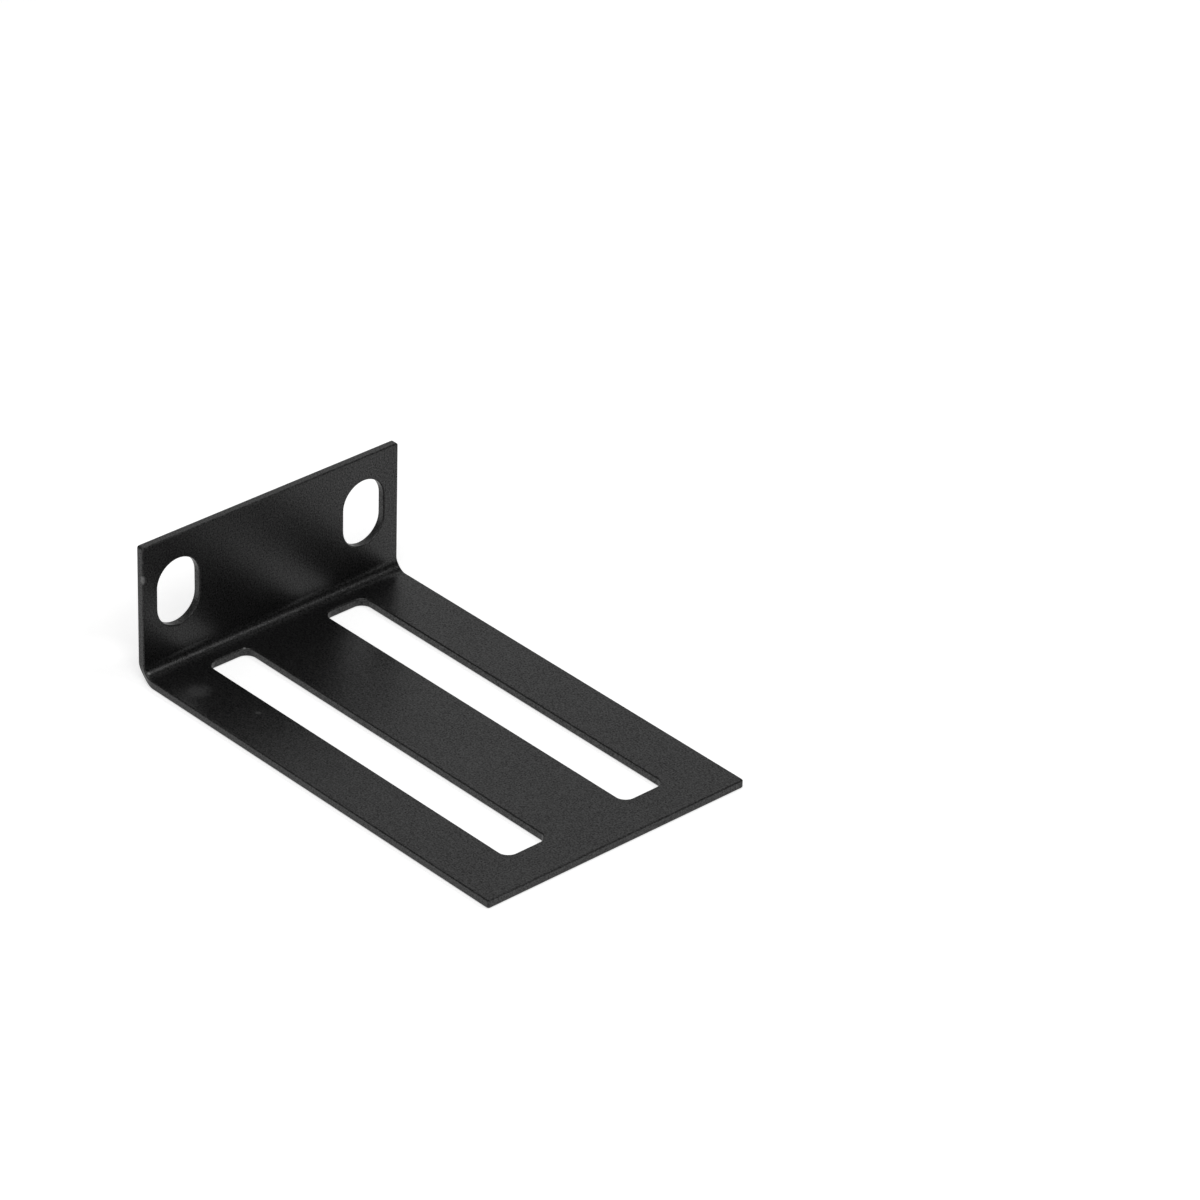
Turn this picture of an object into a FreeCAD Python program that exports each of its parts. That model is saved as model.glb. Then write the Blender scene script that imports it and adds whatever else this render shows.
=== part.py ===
import FreeCAD, Part
import math
import os

# Rack mount ear bracket: one steel sheet, punched and then folded once.
# Lengths are in millimetres.
# X runs along the leg, from the flange to the free end.
# Y runs along the fold, Z stands up from the leg's outer face, which lies on Z = 0.
# The origin is under the middle of the bracket.

# The sheet and its fold
sheet_thickness = 1.2
inner_bend_radius = 1.8
edge_softening = 0.2
corner_radius = 0.35

# What the squeezed inner side gains and the stretched outer side loses at each end of the fold
bend_bulge = 0.12
bend_draw_in = 0.22

# The rack's vertical pitch, which sets the width and the rack screws
rack_unit = 44.45
panel_clearance = 0.75
screw_gap_across_units = 12.7

# Upright slots in the flange, for the rack screws
rack_slot_width = 7.0
rack_slot_height = 10.0
rack_slot_centre_height = 12.0
rack_slot_edge_margin = 3.7

# Long slots in the leg, for the screws of the device
device_slot_length = 60.0
device_slot_width = 7.0
device_slot_spacing = 20.0
device_slot_corner_radius = 1.5
device_slot_bend_margin = 1.0
device_slot_end_margin = 6.0

# Sizes that follow from those above
width = rack_unit - panel_clearance
rack_screw_spacing = rack_unit - screw_gap_across_units
outer_bend_radius = inner_bend_radius + sheet_thickness
flange_height = rack_slot_centre_height + rack_slot_height / 2 + rack_slot_edge_margin
leg_length = (
    outer_bend_radius + device_slot_bend_margin + device_slot_length + device_slot_end_margin
)
flange_x = -leg_length / 2
leg_end_x = leg_length / 2
bend_x = flange_x + outer_bend_radius
device_slot_x = bend_x + device_slot_bend_margin + device_slot_length / 2

# Margins of the cutting tools and of the edge search
overcut = 1.0
trim_overcut = 0.1
bend_stations = 13
smooth_cosine = 0.99
same_place = 1e-4


def vector(x, y, z):
    """A point or a direction in the bracket's frame."""
    return FreeCAD.Vector(x, y, z)


def box(low, high):
    """A box between two opposite corners."""
    size = high - low
    return Part.makeBox(size.x, size.y, size.z, low)


def flat_leg():
    """The leg from the end of the bend to its free end."""
    return box(vector(bend_x, -width / 2, 0), vector(leg_end_x, width / 2, sheet_thickness))


def flat_flange():
    """The flange from the top of the bend to its upper edge."""
    low = vector(flange_x, -width / 2, outer_bend_radius)
    high = vector(flange_x + sheet_thickness, width / 2, flange_height)
    return box(low, high)


def bend_point(turn, radius, y):
    """A point of the bend: turn is 0 at the flange and 90 degrees at the leg."""
    x = bend_x - radius * math.cos(turn)
    z = outer_bend_radius - radius * math.sin(turn)
    return vector(x, y, z)


def bend_end(turn, radius):
    """Where the bend ends along Y: swollen inside, drawn in outside, plain at both flats."""
    share = math.sin(2 * turn) ** 2
    depth = (radius - inner_bend_radius) / sheet_thickness
    return width / 2 + share * (bend_bulge - (bend_bulge + bend_draw_in) * depth)


def bend_arc(radius, y):
    """One quarter circle of the bend in the plane at y."""
    start, middle, end = (bend_point(turn, radius, y) for turn in (0, math.pi / 4, math.pi / 2))
    return Part.Arc(start, middle, end).toShape()


def bend_band():
    """The quarter tube of the bend, longer than the sheet is wide."""
    reach = width / 2 + overcut
    inner = bend_arc(inner_bend_radius, -reach)
    outer = bend_arc(outer_bend_radius, -reach)
    sides = [
        Part.makeLine(inner.Vertexes[0].Point, outer.Vertexes[0].Point),
        Part.makeLine(inner.Vertexes[-1].Point, outer.Vertexes[-1].Point),
    ]
    outline = Part.Wire(Part.__sortEdges__([inner, outer] + sides))
    return Part.Face(outline).extrude(vector(0, 2 * reach, 0))


def bend_end_station(turn):
    """The outline of the trimming tool in the radial plane at one angle of the bend."""
    near, far = inner_bend_radius - trim_overcut, outer_bend_radius + trim_overcut
    beyond = width / 2 + 2 * overcut
    corners = [
        bend_point(turn, near, bend_end(turn, near)),
        bend_point(turn, far, bend_end(turn, far)),
        bend_point(turn, far, beyond),
        bend_point(turn, near, beyond),
    ]
    return Part.makePolygon(corners + corners[:1])


def bend_end_trim():
    """The lofted tool that shapes the +Y end of the bend."""
    turns = [math.pi / 2 * i / (bend_stations - 1) for i in range(bend_stations)]
    return Part.makeLoft([bend_end_station(turn) for turn in turns], True, False)


def mirrored(shape):
    """The same shape at the other end of the fold."""
    return shape.mirror(vector(0, 0, 0), vector(0, 1, 0))


def bend():
    """The bend with the ends that folding leaves on a sheet."""
    trim = bend_end_trim()
    return bend_band().cut([trim, mirrored(trim)])


def slot_outline(length, slot_width, radius):
    """A slot along X round the origin: four corner arcs joined by straight sides."""
    radius = min(radius, length / 2, slot_width / 2)
    x, y = length / 2 - radius, slot_width / 2 - radius
    edges, ends = [], []
    for quarter, centre in enumerate(((x, y), (-x, y), (-x, -y), (x, -y))):
        circle = Part.Circle(vector(*centre, 0), vector(0, 0, 1), radius)
        arc = Part.ArcOfCircle(circle, quarter * math.pi / 2, (quarter + 1) * math.pi / 2)
        edges.append(arc.toShape())
        ends.append((arc.StartPoint, arc.EndPoint))
    for (_, leaving), (arriving, _) in zip(ends, ends[1:] + ends[:1]):
        if leaving.distanceToPoint(arriving) > same_place:
            edges.append(Part.makeLine(leaving, arriving))
    return Part.Wire(Part.__sortEdges__(edges))


def slot_punch(length, slot_width, radius):
    """A punch for one slot, through the sheet and past both of its faces."""
    punch = Part.Face(slot_outline(length, slot_width, radius))
    punch.translate(vector(0, 0, -overcut))
    return punch.extrude(vector(0, 0, sheet_thickness + 2 * overcut))


def device_slot(y):
    """One long slot of the leg, with small corner radii."""
    punch = slot_punch(device_slot_length, device_slot_width, device_slot_corner_radius)
    return punch.translated(vector(device_slot_x, y, 0))


def rack_slot(y):
    """One upright slot of the flange, with round ends."""
    punch = slot_punch(rack_slot_height, rack_slot_width, rack_slot_width / 2)
    punch = punch.rotated(vector(0, 0, 0), vector(0, 1, 0), 90)
    return punch.translated(vector(flange_x, y, rack_slot_centre_height))


def punches():
    """All four slots."""
    device = [device_slot(side * device_slot_spacing / 2) for side in (-1, 1)]
    rack = [rack_slot(side * rack_screw_spacing / 2) for side in (-1, 1)]
    return device + rack


def outer_corners(shape):
    """The four short edges at the corners of the sheet."""
    found = []
    for edge in shape.Edges:
        middle = edge.CenterOfMass
        at_side = abs(abs(middle.y) - width / 2) < same_place
        at_leg_end = abs(middle.x - leg_end_x) < same_place
        at_flange_top = abs(middle.z - flange_height) < same_place
        if at_side and edge.Length < 2 * sheet_thickness and (at_leg_end or at_flange_top):
            found.append(edge)
    return found


def outward(face, point):
    """The face's outward normal where it is nearest to the point."""
    return face.normalAt(*face.Surface.parameter(point))


def rims(shape):
    """Every edge where two faces of the sheet meet at an angle."""
    found = []
    for edge in shape.Edges:
        faces = shape.ancestorsOfType(edge, Part.Face)
        middle = edge.valueAt((edge.FirstParameter + edge.LastParameter) / 2)
        if len(faces) == 2 and outward(faces[0], middle).dot(outward(faces[1], middle)) < smooth_cosine:
            found.append(edge)
    return found


def ear_bracket():
    """The finished bracket as one solid."""
    sheet = bend().fuse([flat_leg(), flat_flange()]).cut(punches()).removeSplitter()
    sheet = sheet.makeFillet(corner_radius, outer_corners(sheet))
    return sheet.makeFillet(min(edge_softening, sheet_thickness / 3), rims(sheet))


os.makedirs("parts", exist_ok=True)
bracket = ear_bracket()
if not bracket.isValid() or len(bracket.Solids) != 1:
    raise ValueError("the bracket is not one valid solid")
bracket.Solids[0].exportStep("parts/ear_bracket.step")
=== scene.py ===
"""The powder coat of the rack mount ear bracket, with the floor, light and camera that show it."""

import math

import bpy
from bpy.props import FloatProperty, FloatVectorProperty, PointerProperty
from mathutils import Matrix, Vector


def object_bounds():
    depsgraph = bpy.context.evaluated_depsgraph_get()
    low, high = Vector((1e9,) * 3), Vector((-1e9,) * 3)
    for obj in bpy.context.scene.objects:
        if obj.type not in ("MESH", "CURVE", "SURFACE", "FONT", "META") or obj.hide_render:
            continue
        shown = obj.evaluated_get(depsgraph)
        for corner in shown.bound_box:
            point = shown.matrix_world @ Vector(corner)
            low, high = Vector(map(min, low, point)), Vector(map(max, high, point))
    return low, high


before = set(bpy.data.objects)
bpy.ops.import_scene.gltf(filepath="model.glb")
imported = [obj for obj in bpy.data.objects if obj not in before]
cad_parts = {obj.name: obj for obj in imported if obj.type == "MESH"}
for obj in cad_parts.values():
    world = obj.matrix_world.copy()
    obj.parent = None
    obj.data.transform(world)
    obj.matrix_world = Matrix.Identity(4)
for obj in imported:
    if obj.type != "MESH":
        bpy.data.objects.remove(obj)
CAD_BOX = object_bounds()

bl_info = {
    "name": "Rack mount ear bracket",
    "version": (1, 0, 0),
    "blender": (4, 5, 0),
    "location": "3D View > Sidebar > Ear bracket",
    "description": "Coats the folded bracket in black powder and sets it on a pale floor",
    "category": "Object",
}

BRACKET = "ear_bracket"

# The folded sheet, as in the part's source
SHEET = 0.0012
FOLD_RADIUS = 0.0018
FOLD_AXIS = (CAD_BOX[0][0] + FOLD_RADIUS + SHEET, 0.0, CAD_BOX[0][2] + FOLD_RADIUS + SHEET)

# The floor lies this much under the bracket, so that the two don't share a plane
FLOOR_GAP = 0.00005

# Width of the camera's frame in millimetres, and how near and how far it sees
FRAME_WIDTH = 36.0
NEAREST, FARTHEST = 0.01, 100.0

# Parts of the sheet's thickness, from its middle, between which a cut edge turns into a face
EDGE_BAND = (0.32, 0.5)

# How far the cut edges are painted towards the rubbed colour: a painted sheen for the light that
# they catch
EDGE_PAINTED_SHEEN = 0.056

# The grains: the noise from the darkest to the lightest, and what they do to sheen and film
GRAIN_TONES = (0.25, 0.75)
GRAIN_SHEEN = 0.2
GRAIN_FILM = 1.8

# The faint clouds: their width in swells, and what they do to tone, sheen and film
CLOUD_WIDTH = 6
CLOUD_TONE = 0.2
CLOUD_SHEEN = 0.06
CLOUD_FILM = 0.15

# A mark of handling: how ragged its border is, which part of its radius is full, how wide its
# raggedness runs in grains, and its least strength between the grains
MARK_RAGGEDNESS = 1.2
MARK_CORE = 0.3
MARK_GRAINS = 2
MARK_LEAST = 0.4

# Pale spots on the coat, some real marks of handling and some painted light: place, radius and
# strength.
# A painted patch of light and a speck on the leg, a rub on the flange's edge (two spots),
# a painted highlight at the fold's left end and a painted glint at a slot's corner
MARKS_AND_GLINTS = (
    # painted light: a patch of light on the leg, where light comes through the flange's hole
    ((-0.0264, -0.0186, SHEET), 0.0022, 0.17),
    ((-0.0173, -0.016, SHEET), 0.00045, 0.33),
    ((-0.0338, -0.0218, 0.0162), 0.0005, 1.0),
    ((-0.0338, -0.0218, 0.0156), 0.0005, 1.0),
    # painted highlight at the fold's left end
    ((-0.0333, -0.02145, 0.00177), 0.00034, 1.0),
    # painted glint at a slot's corner
    ((-0.03095, -0.0072, SHEET), 0.00023, 1.0),
)


class CoatSettings(bpy.types.PropertyGroup):
    """The black powder coat."""

    dark: FloatVectorProperty(
        name="Dark colour",
        description="Colour of the coat where it lies thickest",
        subtype="COLOR",
        size=4,
        min=0.0,
        max=1.0,
        default=(0.0032, 0.0032, 0.0033, 1.0),
    )
    light: FloatVectorProperty(
        name="Light colour",
        description="Colour of the coat's palest grains",
        subtype="COLOR",
        size=4,
        min=0.0,
        max=1.0,
        default=(0.0087, 0.0087, 0.0088, 1.0),
    )
    # Besides real rubs, this colour is painted on the cut edges as a sheen and on spots of painted
    # light
    rubbed: FloatVectorProperty(
        name="Rubbed colour",
        description="Colour of the coat where handling has rubbed it pale",
        subtype="COLOR",
        size=4,
        min=0.0,
        max=1.0,
        default=(0.16, 0.16, 0.16, 1.0),
    )
    roughness: FloatProperty(
        name="Roughness",
        description="Roughness of the half gloss coat",
        subtype="FACTOR",
        min=0.0,
        max=1.0,
        default=0.32,
    )
    dull_gloss: FloatProperty(
        name="Dull gloss",
        description="Gloss level of the grains that stand out of the film",
        subtype="FACTOR",
        min=0.0,
        max=1.0,
        default=0.08,
    )
    film_gloss: FloatProperty(
        name="Film gloss",
        description="Gloss level of the film between the grains",
        subtype="FACTOR",
        min=0.0,
        max=1.0,
        default=0.61,
    )
    peel_size: FloatProperty(
        name="Peel size",
        description="Width of the low swells that the powder leaves as it melts",
        subtype="DISTANCE",
        unit="LENGTH",
        min=0.0001,
        default=0.0011,
    )
    peel_depth: FloatProperty(
        name="Peel depth",
        description="Height of those swells",
        subtype="DISTANCE",
        unit="LENGTH",
        min=0.0,
        default=0.000009,
    )
    grain_size: FloatProperty(
        name="Grain size",
        description="Width of the fine grains in the coat",
        subtype="DISTANCE",
        unit="LENGTH",
        min=0.00001,
        default=0.00023,
    )
    grain_depth: FloatProperty(
        name="Grain depth",
        description="Height of the fine grains",
        subtype="DISTANCE",
        unit="LENGTH",
        min=0.0,
        default=0.0000035,
    )


class StageSettings(bpy.types.PropertyGroup):
    """The floor, the light and the camera."""

    floor_colour: FloatVectorProperty(
        name="Floor colour",
        description="Colour of the plain floor",
        subtype="COLOR",
        size=4,
        min=0.0,
        max=1.0,
        default=(0.8, 0.8, 0.8, 1.0),
    )
    floor_lift: FloatProperty(
        name="Floor lift",
        description="What is added to the floor where it is seen, so that open floor shows white",
        min=0.0,
        max=1.0,
        default=0.52,
    )
    floor_size: FloatProperty(
        name="Floor size",
        description="Side of the square floor",
        subtype="DISTANCE",
        unit="LENGTH",
        min=0.5,
        default=12.0,
    )
    room_light: FloatProperty(
        name="Room light",
        description="Strength of the even light from all round",
        min=0.0,
        default=0.62,
    )
    box_power: FloatProperty(
        name="Soft box power",
        description="Power of the soft box over the bracket",
        subtype="POWER",
        unit="POWER",
        min=0.0,
        default=5.0,
    )
    box_place: FloatVectorProperty(
        name="Soft box place",
        description="Where the soft box hangs",
        subtype="XYZ",
        unit="LENGTH",
        size=3,
        default=(0.5, -0.45, 1.1),
    )
    box_side: FloatProperty(
        name="Soft box side",
        description="Side of the square soft box",
        subtype="DISTANCE",
        unit="LENGTH",
        min=0.01,
        default=0.7,
    )
    lamp_power: FloatProperty(
        name="Small lamp power",
        description="Power of the small lamp that draws the light line in the fold",
        subtype="POWER",
        unit="POWER",
        min=0.0,
        default=0.52,
    )
    lamp_place: FloatVectorProperty(
        name="Small lamp place",
        description="Where the small lamp hangs",
        subtype="XYZ",
        unit="LENGTH",
        size=3,
        default=(0.31, 0.206, 0.405),
    )
    lamp_side: FloatProperty(
        name="Small lamp side",
        description="Side of the small square lamp",
        subtype="DISTANCE",
        unit="LENGTH",
        min=0.001,
        default=0.15,
    )
    card_side: FloatProperty(
        name="Card side",
        description="Side of the square dark cards that stand round the bracket",
        subtype="DISTANCE",
        unit="LENGTH",
        min=0.01,
        default=1.4,
    )
    card_distance: FloatProperty(
        name="Card distance",
        description="How far the dark cards stand from the bracket",
        subtype="DISTANCE",
        unit="LENGTH",
        min=0.1,
        default=0.7,
    )
    black_card: FloatVectorProperty(
        name="Black card colour",
        description="Colour of the card behind the bracket, which darkens the fold",
        subtype="COLOR",
        size=4,
        min=0.0,
        max=1.0,
        default=(0.02, 0.02, 0.02, 1.0),
    )
    black_card_direction: FloatProperty(
        name="Black card direction",
        description="Direction of the black card from the bracket, 0 being along the leg",
        subtype="ANGLE",
        unit="ROTATION",
        default=math.radians(52),
    )
    grey_card: FloatVectorProperty(
        name="Grey card colour",
        description="Colour of the card in front of the bracket, which darkens the cut edges",
        subtype="COLOR",
        size=4,
        min=0.0,
        max=1.0,
        default=(0.5, 0.5, 0.5, 1.0),
    )
    grey_card_direction: FloatProperty(
        name="Grey card direction",
        description="Direction of the grey card from the bracket, 0 being along the leg",
        subtype="ANGLE",
        unit="ROTATION",
        default=math.radians(-140),
    )
    camera_azimuth: FloatProperty(
        name="Camera azimuth",
        description="Side that the camera looks from, 0 being the low Y side",
        subtype="ANGLE",
        unit="ROTATION",
        default=math.radians(47.068),
    )
    camera_elevation: FloatProperty(
        name="Camera elevation",
        description="Height of the camera above the level of the floor",
        subtype="ANGLE",
        unit="ROTATION",
        default=math.radians(31.19),
    )
    camera_roll: FloatProperty(
        name="Camera roll",
        description="Turn of the camera about its own line of sight",
        subtype="ANGLE",
        unit="ROTATION",
        default=math.radians(1.722),
    )
    camera_place: FloatVectorProperty(
        name="Camera place",
        description="Where the camera stands",
        subtype="XYZ",
        unit="LENGTH",
        size=3,
        default=(0.51486, -0.45081, 0.43513),
    )
    lens: FloatProperty(
        name="Lens",
        description="Focal length in millimetres on a frame 36 mm wide",
        min=1.0,
        default=186.658,
    )


class Shade:
    """A socket that takes part in sums: each operator adds a Math node."""

    def __init__(self, graph, socket):
        self.graph = graph
        self.socket = socket

    def math(self, operation, *others, clamp=False):
        """One Math node on this value and the others."""
        settings = {"operation": operation, "use_clamp": clamp}
        return self.graph.value("ShaderNodeMath", settings, dict(enumerate((self, *others))))

    def __add__(self, other):
        return self.math("ADD", other)

    def __radd__(self, other):
        return self.math("ADD", other)

    def __sub__(self, other):
        return self.math("SUBTRACT", other)

    def __rsub__(self, other):
        return self.graph.value("ShaderNodeMath", {"operation": "SUBTRACT"}, {0: other, 1: self})

    def __mul__(self, other):
        return self.math("MULTIPLY", other)

    def __rmul__(self, other):
        return self.math("MULTIPLY", other)

    def clamped(self):
        """The value held between 0 and 1."""
        return self.math("ADD", 0.0, clamp=True)

    def size(self):
        """The value without its sign."""
        return self.math("ABSOLUTE")

    def step(self, low, high):
        """0 below low and 1 above high, with a smooth rise between them."""
        settings = {"interpolation_type": "SMOOTHSTEP"}
        return self.graph.value("ShaderNodeMapRange", settings, {0: self, 1: low, 2: high})


class Graph:
    """A node tree that is filled from its far end to its output."""

    def __init__(self, tree):
        self.tree = tree
        tree.nodes.clear()

    def node(self, kind, settings=None, inputs=None):
        """One node: its settings first, then the values or links of its sockets."""
        made = self.tree.nodes.new(kind)
        for name, value in (settings or {}).items():
            setattr(made, name, value)
        for name, value in (inputs or {}).items():
            socket = made.inputs[name]
            if isinstance(value, Shade):
                self.tree.links.new(value.socket, socket)
            elif isinstance(value, bpy.types.NodeSocket):
                self.tree.links.new(value, socket)
            else:
                socket.default_value = value
        return made

    def value(self, kind, settings, inputs):
        """One node's first output, ready for sums."""
        return Shade(self, self.node(kind, settings, inputs).outputs[0])

    def noise(self, place, size, detail):
        """Noise whose lumps are about that wide, from 0 to 1."""
        inputs = {"Vector": place, "Scale": 1.0 / size, "Detail": detail, "Roughness": 0.5}
        return self.value("ShaderNodeTexNoise", {"noise_dimensions": "3D"}, inputs)

    def vector(self, operation, *values):
        """A Vector Math node."""
        return self.node("ShaderNodeVectorMath", {"operation": operation}, dict(enumerate(values)))

    def distance(self, place, point):
        """How far the place is from a fixed point."""
        return Shade(self, self.vector("DISTANCE", place, point).outputs["Value"])

    def blend(self, share, low, high):
        """A colour between two others: 6, 7 and the output 2 are a Mix node's colour sockets."""
        inputs = {0: share, 6: low, 7: high}
        return self.node("ShaderNodeMix", {"data_type": "RGBA"}, inputs).outputs[2]


def new_graph(owner):
    """The emptied node tree of a material or a world."""
    owner.use_nodes = True
    return Graph(owner.node_tree)


def cut_edge(graph, place):
    """1 on the sheet's cut edges and 0 on its two faces, round the fold too."""
    from_axis = graph.vector("SUBTRACT", place, FOLD_AXIS)
    outward = graph.vector("MINIMUM", from_axis.outputs[0], (0, 0, 0))
    across = graph.vector("MULTIPLY", outward.outputs[0], (1, 0, 1))
    radius = Shade(graph, graph.vector("LENGTH", across.outputs[0]).outputs["Value"])
    off_middle = (radius - (FOLD_RADIUS + SHEET / 2)).size()
    return 1 - off_middle.step(*(part * SHEET for part in EDGE_BAND))


def pale_spot(graph, place, ragged, point, radius):
    """1 in the middle of a mark and 0 past its ragged border."""
    away = graph.distance(place, point) + MARK_RAGGEDNESS * radius * (ragged - 0.5)
    return 1 - away.step(MARK_CORE * radius, radius)


def pale_spots_and_glints(graph, place, ragged):
    """Where the coat is pale: real rubs of handling, and painted light, a patch of light, a
    highlight and a glint.
    """
    marks = [strength * pale_spot(graph, place, ragged, *mark) for *mark, strength in MARKS_AND_GLINTS]
    return sum(marks).clamped()


def layer(graph, gloss, colour, rough, bump):
    """The coat at one gloss level."""
    inputs = {
        "Base Color": colour,
        "Roughness": rough,
        "Specular IOR Level": gloss,
        "Normal": bump.outputs[0],
    }
    return graph.node("ShaderNodeBsdfPrincipled", None, inputs).outputs[0]


def powder_coat(coat):
    """Black powder coat: a half gloss film that fine grains break up, with low swells."""
    material = bpy.data.materials.new("black_powder_coat")
    graph = new_graph(material)
    place = graph.node("ShaderNodeTexCoord").outputs["Object"]
    peel = graph.noise(place, coat.peel_size, detail=1.5)
    grain = graph.noise(place, coat.grain_size, detail=1.0)
    cloud = graph.noise(place, CLOUD_WIDTH * coat.peel_size, detail=3.0)
    ragged = graph.noise(place, MARK_GRAINS * coat.grain_size, detail=2.0)
    # rubbed holds the pale spots: real rubs, and painted light (a patch of light, a highlight, a
    # glint)
    rubbed = pale_spots_and_glints(graph, place, ragged)
    tone = (grain + CLOUD_TONE * (cloud - 0.5)).step(*GRAIN_TONES)
    colour = graph.blend(tone, coat.dark, coat.light)
    # painted sheen: the cut edges are lightened, standing for the light they catch
    colour = graph.blend(EDGE_PAINTED_SHEEN * cut_edge(graph, place), colour, coat.rubbed)
    # the pale spots, real rubs and painted highlights, lighten the colour
    colour = graph.blend(rubbed * (MARK_LEAST + grain), colour, coat.rubbed)
    rough = coat.roughness + GRAIN_SHEEN * (grain - 0.5) + CLOUD_SHEEN * (cloud - 0.5)
    height = coat.peel_depth * peel + coat.grain_depth * grain
    bump = graph.node("ShaderNodeBump", None, {"Strength": 1.0, "Distance": 1.0, "Height": height})
    film = (0.5 + GRAIN_FILM * (grain - 0.5) + CLOUD_FILM * (cloud - 0.5)).clamped()
    dull = layer(graph, coat.dull_gloss, colour, rough, bump)
    glossy = layer(graph, coat.film_gloss, colour, rough, bump)
    mixed = graph.node("ShaderNodeMixShader", None, {0: film, 1: dull, 2: glossy})
    graph.node("ShaderNodeOutputMaterial", None, {"Surface": mixed.outputs[0]})
    return material


def seen(graph):
    """1 where a surface is looked at, mirrored or seen through glass, and 0 elsewhere."""
    rays = graph.node("ShaderNodeLightPath").outputs
    total = Shade(graph, rays["Is Camera Ray"]) + Shade(graph, rays["Is Glossy Ray"])
    return (total + Shade(graph, rays["Is Transmission Ray"])).clamped()


def floor_finish(stage):
    """Plain matt floor, lifted to white where it is seen, and clear when seen from below."""
    material = bpy.data.materials.new("plain_floor")
    graph = new_graph(material)
    matt = graph.node("ShaderNodeBsdfDiffuse", None, {"Color": stage.floor_colour})
    lift = graph.node("ShaderNodeEmission", None, {"Strength": stage.floor_lift * seen(graph)})
    both = graph.node("ShaderNodeAddShader", None, {0: matt.outputs[0], 1: lift.outputs[0]})
    from_below = graph.node("ShaderNodeNewGeometry").outputs["Backfacing"]
    clear = graph.node("ShaderNodeBsdfTransparent")
    sides = {0: from_below, 1: both.outputs[0], 2: clear.outputs[0]}
    one_sided = graph.node("ShaderNodeMixShader", None, sides)
    graph.node("ShaderNodeOutputMaterial", None, {"Surface": one_sided.outputs[0]})
    return material


def light_the_room(stage):
    """Even light from all round, which is plain white where it is seen."""
    world = bpy.data.worlds.new("even_room")
    bpy.context.scene.world = world
    graph = new_graph(world)
    strength = stage.room_light + (1.0 - stage.room_light) * seen(graph)
    sky = graph.node("ShaderNodeBackground", None, {"Strength": strength})
    graph.node("ShaderNodeOutputWorld", None, {"Surface": sky.outputs[0]})


def add_lamp(name, place, side, power):
    """A square lamp that faces the bracket."""
    lamp = bpy.data.lights.new(name, "AREA")
    lamp.shape = "SQUARE"
    lamp.size = side
    lamp.energy = power
    body = bpy.data.objects.new(name, lamp)
    body.location = place
    body.rotation_mode = "QUATERNION"
    body.rotation_quaternion = Vector(place).to_track_quat("Z", "Y")
    bpy.context.scene.collection.objects.link(body)


def add_card(stage, name, direction, colour):
    """A dark card that stands on the floor and faces the bracket, unseen by the camera."""
    bpy.ops.object.select_all(action="DESELECT")
    bpy.ops.mesh.primitive_plane_add(
        size=stage.card_side,
        location=(
            stage.card_distance * math.cos(direction),
            stage.card_distance * math.sin(direction),
            stage.card_side / 2,
        ),
        rotation=(math.pi / 2, 0, direction + math.pi / 2),
    )
    card = bpy.context.object
    card.name = name
    card.visible_camera = False
    material = bpy.data.materials.new(name)
    graph = new_graph(material)
    matt = graph.node("ShaderNodeBsdfDiffuse", None, {"Color": colour})
    graph.node("ShaderNodeOutputMaterial", None, {"Surface": matt.outputs[0]})
    card.data.materials.append(material)


def add_camera(stage):
    """The camera at the photograph's viewing angle."""
    lens = bpy.data.cameras.new("view")
    lens.sensor_width = FRAME_WIDTH
    lens.lens = stage.lens
    lens.clip_start = NEAREST
    lens.clip_end = FARTHEST
    camera = bpy.data.objects.new("view", lens)
    bpy.context.scene.collection.objects.link(camera)
    across = Matrix.Rotation(stage.camera_azimuth, 4, "Z")
    over = Matrix.Rotation(math.pi / 2 - stage.camera_elevation, 4, "X")
    level = Matrix.Rotation(stage.camera_roll, 4, "Z")
    camera.matrix_world = Matrix.Translation(stage.camera_place) @ across @ over @ level
    bpy.context.scene.camera = camera


class OBJECT_OT_ear_bracket_coat(bpy.types.Operator):
    """Give the folded bracket its powder coat"""

    bl_idname = "object.ear_bracket_coat"
    bl_label = "Coat the bracket"

    def execute(self, context):
        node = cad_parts.get(BRACKET)
        if node is None:
            raise RuntimeError("the frame has no bracket to coat")
        node.data.materials.clear()
        node.data.materials.append(powder_coat(context.scene.ear_bracket_coat))
        return {"FINISHED"}


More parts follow.
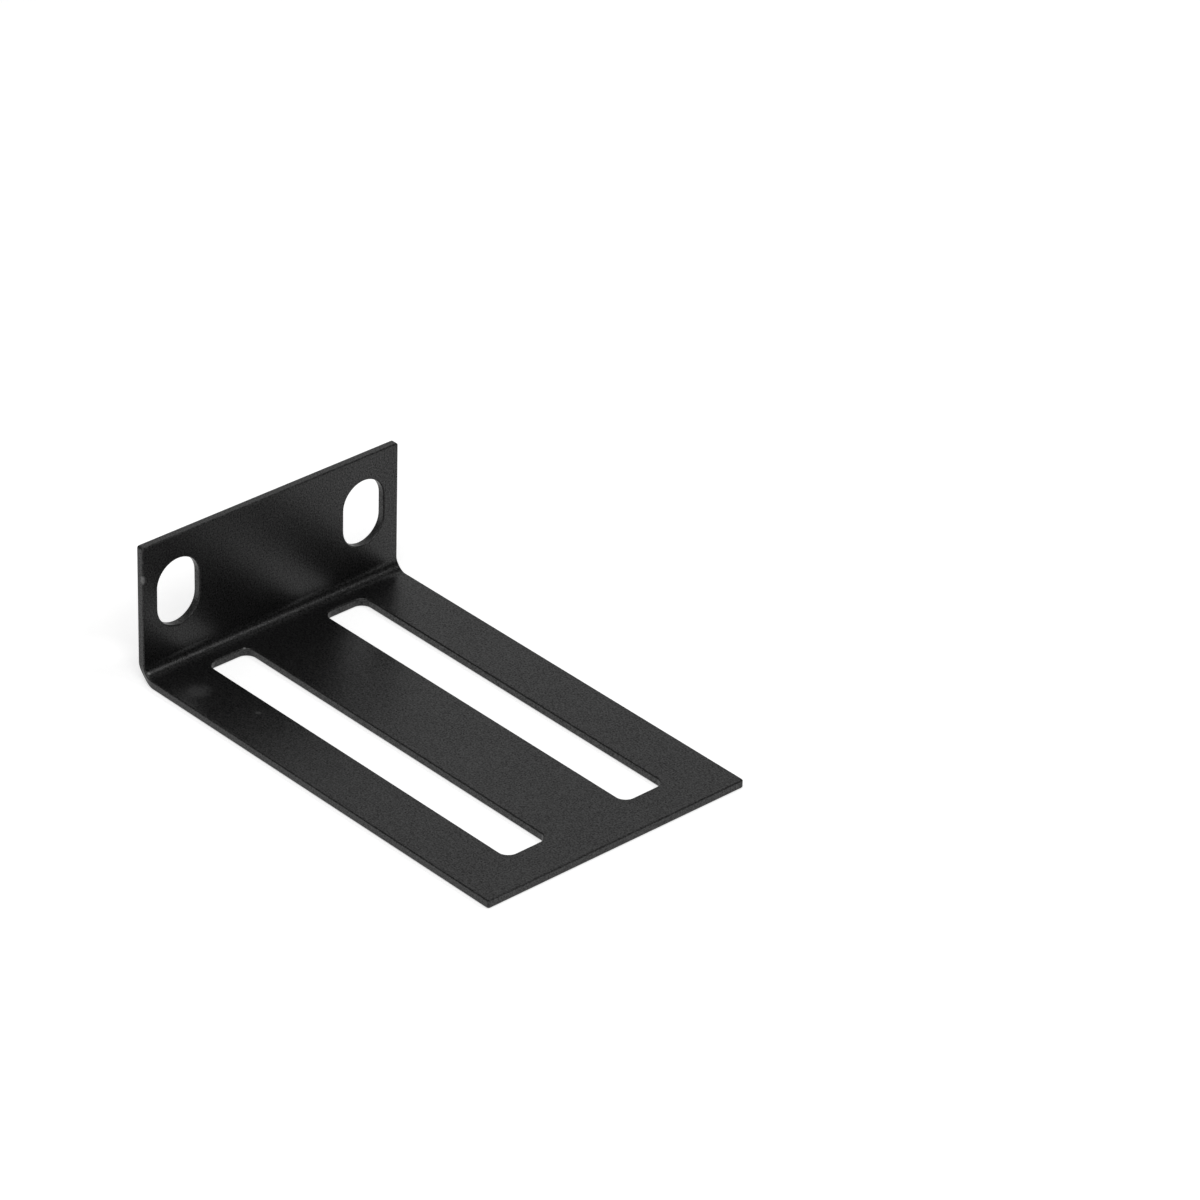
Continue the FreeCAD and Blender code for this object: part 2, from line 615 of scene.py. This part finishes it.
class OBJECT_OT_ear_bracket_stage(bpy.types.Operator):
    """Lay the floor, set the light and place the camera"""

    bl_idname = "object.ear_bracket_stage"
    bl_label = "Set the stage"

    def execute(self, context):
        stage = context.scene.ear_bracket_stage
        bpy.ops.object.select_all(action="DESELECT")
        bpy.ops.mesh.primitive_plane_add(size=stage.floor_size, location=(0, 0, -FLOOR_GAP))
        floor = context.object
        floor.name = "floor"
        floor.data.materials.append(floor_finish(stage))
        light_the_room(stage)
        add_lamp("soft_box", stage.box_place, stage.box_side, stage.box_power)
        add_lamp("small_lamp", stage.lamp_place, stage.lamp_side, stage.lamp_power)
        add_card(stage, "black_card", stage.black_card_direction, stage.black_card)
        add_card(stage, "grey_card", stage.grey_card_direction, stage.grey_card)
        add_camera(stage)
        context.scene.view_settings.view_transform = "Standard"
        return {"FINISHED"}


class VIEW3D_PT_ear_bracket(bpy.types.Panel):
    """Settings of the bracket's finish and of its stage"""

    bl_idname = "VIEW3D_PT_ear_bracket"
    bl_label = "Ear bracket"
    bl_space_type = "VIEW_3D"
    bl_region_type = "UI"
    bl_category = "Ear bracket"

    def draw(self, context):
        for group, operator in (
            (context.scene.ear_bracket_coat, OBJECT_OT_ear_bracket_coat),
            (context.scene.ear_bracket_stage, OBJECT_OT_ear_bracket_stage),
        ):
            column = self.layout.column(align=True)
            for name in group.__annotations__:
                column.prop(group, name)
            column.operator(operator.bl_idname)


CLASSES = (
    CoatSettings,
    StageSettings,
    OBJECT_OT_ear_bracket_coat,
    OBJECT_OT_ear_bracket_stage,
    VIEW3D_PT_ear_bracket,
)


def register():
    """Make the settings, the operators and the panel known."""
    for item in CLASSES:
        bpy.utils.register_class(item)
    bpy.types.Scene.ear_bracket_coat = PointerProperty(type=CoatSettings)
    bpy.types.Scene.ear_bracket_stage = PointerProperty(type=StageSettings)


def unregister():
    """Take them away again."""
    del bpy.types.Scene.ear_bracket_coat
    del bpy.types.Scene.ear_bracket_stage
    for item in reversed(CLASSES):
        bpy.utils.unregister_class(item)


def main():
    """Coat the bracket and set the stage."""
    register()
    bpy.ops.object.ear_bracket_coat()
    bpy.ops.object.ear_bracket_stage()


if __name__ == "__main__":
    main()
